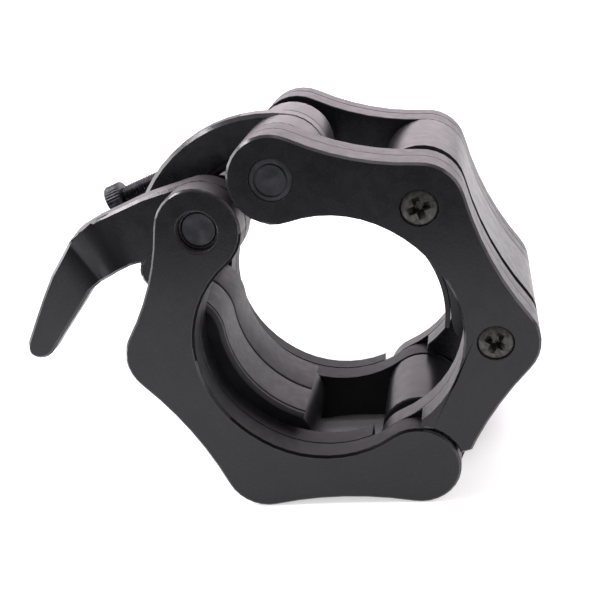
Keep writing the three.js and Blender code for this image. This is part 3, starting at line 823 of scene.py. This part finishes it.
def makeAdjuster():
    low, high = (Vector(corner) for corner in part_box("adjusting_screw"))
    joint = next(j for j in frame["joints"] if j["name"] == "adjusting_screw_slide")
    inward = -Vector(joint["axis"])
    across = Vector((0, 1, 0))
    up = across.cross(inward)
    radius, headLength, pitch = (adjuster[k] for k in ("head", "headLength", "pitch"))
    end = Vector((
        low.x + radius * mm * abs(inward.z), (low.y + high.y) / 2, low.z + radius * mm * abs(inward.x)))
    length = ((high.x - end.x) / mm - adjuster["thread"] * abs(inward.z)) / inward.x
    tipLength, tipDepth = adjuster["tip"]

    def ring(along, count, shape):
        return ringRound(end + inward * along * mm, across, up, count, shape)

    def knurl(angle):
        return radius - adjuster["ridgeDepth"] * (0.5 + 0.5 * math.cos(adjuster["ridges"] * angle))

    def thread(angle):
        phase = (along / pitch - angle / math.tau) % 1
        fade = min(1, max(0, (along - adjuster["neck"]) / pitch))
        fade = min(fade, max(0, (length - tipLength - along) / pitch))
        depth = abs(2 * phase - 1) * fade + 0.5 * (1 - fade)
        return adjuster["thread"] - adjuster["threadDepth"] * depth

    count = adjuster["ridges"] * adjuster["pointsPerRidge"]
    rings = []
    for share, along in adjuster["outerEnd"]:
        rings.append(ring(along, count, lambda angle: radius * share))
    for along in (adjuster["knurl"][0], headLength - adjuster["knurl"][1]):
        rings.append(ring(along, count, knurl))
    for share, inset in adjuster["innerEnd"]:
        rings.append(ring(headLength - inset, count, lambda angle: radius * share))
    piece = newPiece("adjustingScrew", skin(rings), [rubbedScrew])

    rings = []
    along = headLength - adjuster["overlap"]
    while along < length - tipLength:
        rings.append(ring(along, adjuster["threadSides"], thread))
        along += pitch / adjuster["threadSteps"]
    rings.append(ring(length, adjuster["threadSides"], lambda angle: adjuster["thread"] - tipDepth))
    combine(piece, skin(rings), "UNION")

    rings = []
    for along in (-adjuster["overshoot"], adjuster["socketDepth"]):
        rings.append(ring(along, adjuster["socketSides"], lambda angle: adjuster["socket"]))
    combine(piece, skin(rings), "DIFFERENCE")
    mesh = bmesh.new()
    mesh.from_mesh(piece.data)
    shadeByAngle(mesh, adjuster["sharp"])
    mesh.to_mesh(piece.data)
    mesh.free()
    standFor(piece, "adjusting_screw")


makeAdjuster()
print("adjusting screw made")

# Studio: a pale floor, a pale surround and soft panels that the camera doesn't see. Sizes are in mm.
studio = {
    "floor": {
        "size": 14000,
        "colour": "#f2f2f2",
        "roughness": 0.9,
        "lift": 0.56,  # light added where the camera or a reflection sees it, so that it reads as white
        "under": (14, 24, 0),  # the middle of the place under the collar, which gets no lift, so the floor is painted darker there as shadow
        "fade": (22, 46),  # distances from there between which the lift fades in
    },
    "card": {"middle": (20, -470, 1), "size": (1000, 560), "colour": "#63656d"},
    "ambient": 0.45,
    "room": {"strength": 0.25, "fade": (-0.5, 0)},  # in reflections: dim where Y is under the first
    "aim": (0, 0, 40),
    "panels": {
        # place, size, brightness and colour, and the place it faces if that isn't the aim
        "backPanel": ((0, 900, 450), (1500, 700), 1.35, "#ffeaf5"),
        "topPanel": ((250, 150, 1100), (900, 900), 1.5, "#fff5fb"),
        "rightPanel": ((1000, 0, 500), (800, 700), 1.6, "#fff5fb"),
        "leftPanel": ((-900, 50, 350), (700, 500), 4.5, "#fffafd"),
        "lowPanel": ((-200, 30, 3), (170, 170), 5.5, "#fffafd", (-200, 30, 100)),
        "keyPanel": ((-800, -250, 850), (350, 350), 16, "#fffafd"),
    },
}


# 1 where the camera, a reflection or a view through glass sees a surface, and 0 for scattered light
def seenDirectly(tree):
    path = addNode(tree, "ShaderNodeLightPath")
    seen = addNode(tree, "ShaderNodeMath", {
        0: path.outputs["Is Camera Ray"], 1: path.outputs["Is Glossy Ray"]}, operation="MAXIMUM")
    seen = addNode(tree, "ShaderNodeMath", {
        0: seen.outputs["Value"], 1: path.outputs["Is Transmission Ray"]}, operation="MAXIMUM")
    return seen.outputs["Value"]


def makeFloor():
    look = studio["floor"]
    mesh = bmesh.new()
    bmesh.ops.create_grid(mesh, x_segments=1, y_segments=1, size=look["size"] * mm / 2)
    material, tree = newMaterial("paleFloor")
    place = addNode(tree, "ShaderNodeTexCoord").outputs["Object"]
    # Painted shadow: the lift fades out round the place under the collar.
    away = addNode(tree, "ShaderNodeVectorMath", {
        0: place, 1: Vector(look["under"]) * mm}, operation="DISTANCE")
    near, far = look["fade"]
    clear = addNode(tree, "ShaderNodeMapRange", {
        "Value": away.outputs["Value"], "From Min": near * mm, "From Max": far * mm,
        "To Max": look["lift"]}, interpolation_type="SMOOTHSTEP")
    lift = addNode(tree, "ShaderNodeMath", {
        0: seenDirectly(tree), 1: clear.outputs["Result"]}, operation="MULTIPLY")
    shader = addNode(tree, "ShaderNodeBsdfPrincipled", {
        "Base Color": linear(look["colour"]), "Roughness": look["roughness"],
        "Emission Color": (1, 1, 1, 1), "Emission Strength": lift.outputs["Value"]})
    addNode(tree, "ShaderNodeOutputMaterial", {"Surface": shader.outputs["BSDF"]})
    floor = newPiece("floor", mesh, [material])


# A grey card on the floor in front, which only reflections see: it darkens the fronts of the collar.
def makeCard():
    look = studio["card"]
    mesh = bmesh.new()
    bmesh.ops.create_grid(mesh, x_segments=1, y_segments=1, size=mm / 2)
    bmesh.ops.scale(mesh, vec=(*look["size"], 1), verts=mesh.verts)
    bmesh.ops.translate(mesh, vec=Vector(look["middle"]) * mm, verts=mesh.verts)
    material, tree = newMaterial("greyCard")
    shader = addNode(tree, "ShaderNodeBsdfDiffuse", {"Color": linear(look["colour"])})
    addNode(tree, "ShaderNodeOutputMaterial", {"Surface": shader.outputs["BSDF"]})
    card = newPiece("flag", mesh, [material])
    card.visible_camera = False
    card.visible_diffuse = False
    card.visible_shadow = False


def makeWorld():
    world = bpy.data.worlds.new("surround")
    bpy.context.scene.world = world
    world.use_nodes = True
    tree = world.node_tree
    tree.nodes.clear()
    strength = addNode(tree, "ShaderNodeMapRange", {
        "Value": seenDirectly(tree), "To Min": studio["ambient"], "To Max": 1})
    # Reflections see a dim room in front of the collar.
    way = addNode(tree, "ShaderNodeSeparateXYZ", {
        "Vector": addNode(tree, "ShaderNodeTexCoord").outputs["Generated"]})
    room = addNode(tree, "ShaderNodeMapRange", {
        "Value": way.outputs["Y"],
        "From Min": studio["room"]["fade"][0], "From Max": studio["room"]["fade"][1],
        "To Min": studio["room"]["strength"], "To Max": 1})
    glossy = addNode(tree, "ShaderNodeLightPath").outputs["Is Glossy Ray"]
    shade = addNode(tree, "ShaderNodeMapRange", {
        "Value": glossy, "To Min": 1, "To Max": room.outputs["Result"]})
    dimmed = addNode(tree, "ShaderNodeMath", {
        0: strength.outputs["Result"], 1: shade.outputs["Result"]}, operation="MULTIPLY")
    light = addNode(tree, "ShaderNodeBackground", {
        "Color": (1, 1, 1, 1), "Strength": dimmed.outputs["Value"]})
    addNode(tree, "ShaderNodeOutputWorld", {"Surface": light.outputs["Background"]})


# A soft rectangular lamp; at brightness 1 its face is as bright as plain white
def makePanel(name, place, size, brightness, colour, aim=studio["aim"]):
    lamp = bpy.data.lights.new(name, "AREA")
    lamp.shape = "RECTANGLE"
    lamp.size, lamp.size_y = (s * mm for s in size)
    lamp.energy = brightness * math.pi * lamp.size * lamp.size_y
    lamp.color = linear(colour)[:3]
    panel = bpy.data.objects.new(name, lamp)
    panel.location = Vector(place) * mm
    way = Vector(aim) * mm - panel.location
    panel.rotation_mode = "QUATERNION"
    panel.rotation_quaternion = way.to_track_quat("-Z", "Y")
    panel.visible_camera = False
    bpy.context.scene.collection.objects.link(panel)


makeFloor()
makeCard()
makeWorld()
for name, panel in studio["panels"].items():
    makePanel(name, *panel)
bpy.context.scene.view_settings.view_transform = "Standard"
print("studio made")
